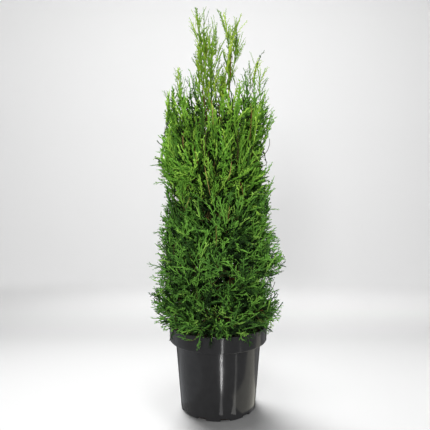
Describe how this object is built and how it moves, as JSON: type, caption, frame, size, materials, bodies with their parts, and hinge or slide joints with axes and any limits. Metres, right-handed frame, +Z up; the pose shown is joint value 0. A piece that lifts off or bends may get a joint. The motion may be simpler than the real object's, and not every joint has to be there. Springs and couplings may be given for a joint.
{
  "type": "potted emerald green arborvitae",
  "caption": "Young columnar evergreen shrub with two leading tips and flat scaly sprays, growing in compost in a round black nursery pot with a wide collar.",
  "frame": {"origin": "middle of the pot's flat underside, where the pot stands on the ground", "axes": "+Z up along the trunk, -Y towards the pictured front, +X to its right"},
  "size_m": [0.3046, 0.3122, 0.94],
  "materials": {
    "pot": "glossy",
    "compost": "rough",
    "bark": "rough",
    "foliage_skirt": "satin",
    "foliage_low": "satin",
    "foliage_middle": "satin",
    "foliage_upper": "satin",
    "foliage_shoulder": "satin",
    "foliage_spire": "satin"
  },
  "bodies": {
    "root": {"bough_shoulder_1": "bark", "bough_shoulder_2": "bark", "bough_shoulder_3": "bark", "bough_shoulder_4": "bark", "bough_upper_1": "bark", "bough_upper_2": "bark", "bough_upper_3": "bark", "bough_upper_4": "bark", "bough_upper_5": "bark", "bough_upper_6": "bark", "compost": "compost", "foliage_low_1": "foliage_low", "foliage_low_2": "foliage_low", "foliage_low_3": "foliage_low", "foliage_low_4": "foliage_low", "foliage_low_5": "foliage_low", "foliage_middle_1": "foliage_middle", "foliage_middle_2": "foliage_middle", "foliage_middle_3": "foliage_middle", "foliage_middle_4": "foliage_middle", "foliage_middle_5": "foliage_middle", "foliage_shoulder_1": "foliage_shoulder", "foliage_shoulder_2": "foliage_shoulder", "foliage_shoulder_3": "foliage_shoulder", "foliage_shoulder_4": "foliage_shoulder", "foliage_skirt_1": "foliage_skirt", "foliage_skirt_2": "foliage_skirt", "foliage_skirt_3": "foliage_skirt", "foliage_skirt_4": "foliage_skirt", "foliage_skirt_5": "foliage_skirt", "foliage_skirt_6": "foliage_skirt", "foliage_spire_left": "foliage_spire", "foliage_spire_right": "foliage_spire", "foliage_upper_1": "foliage_upper", "foliage_upper_2": "foliage_upper", "foliage_upper_3": "foliage_upper", "foliage_upper_4": "foliage_upper", "foliage_upper_5": "foliage_upper", "foliage_upper_6": "foliage_upper", "leader": "bark", "pot": "pot", "trunk": "bark"}
  },
  "joints": []
}
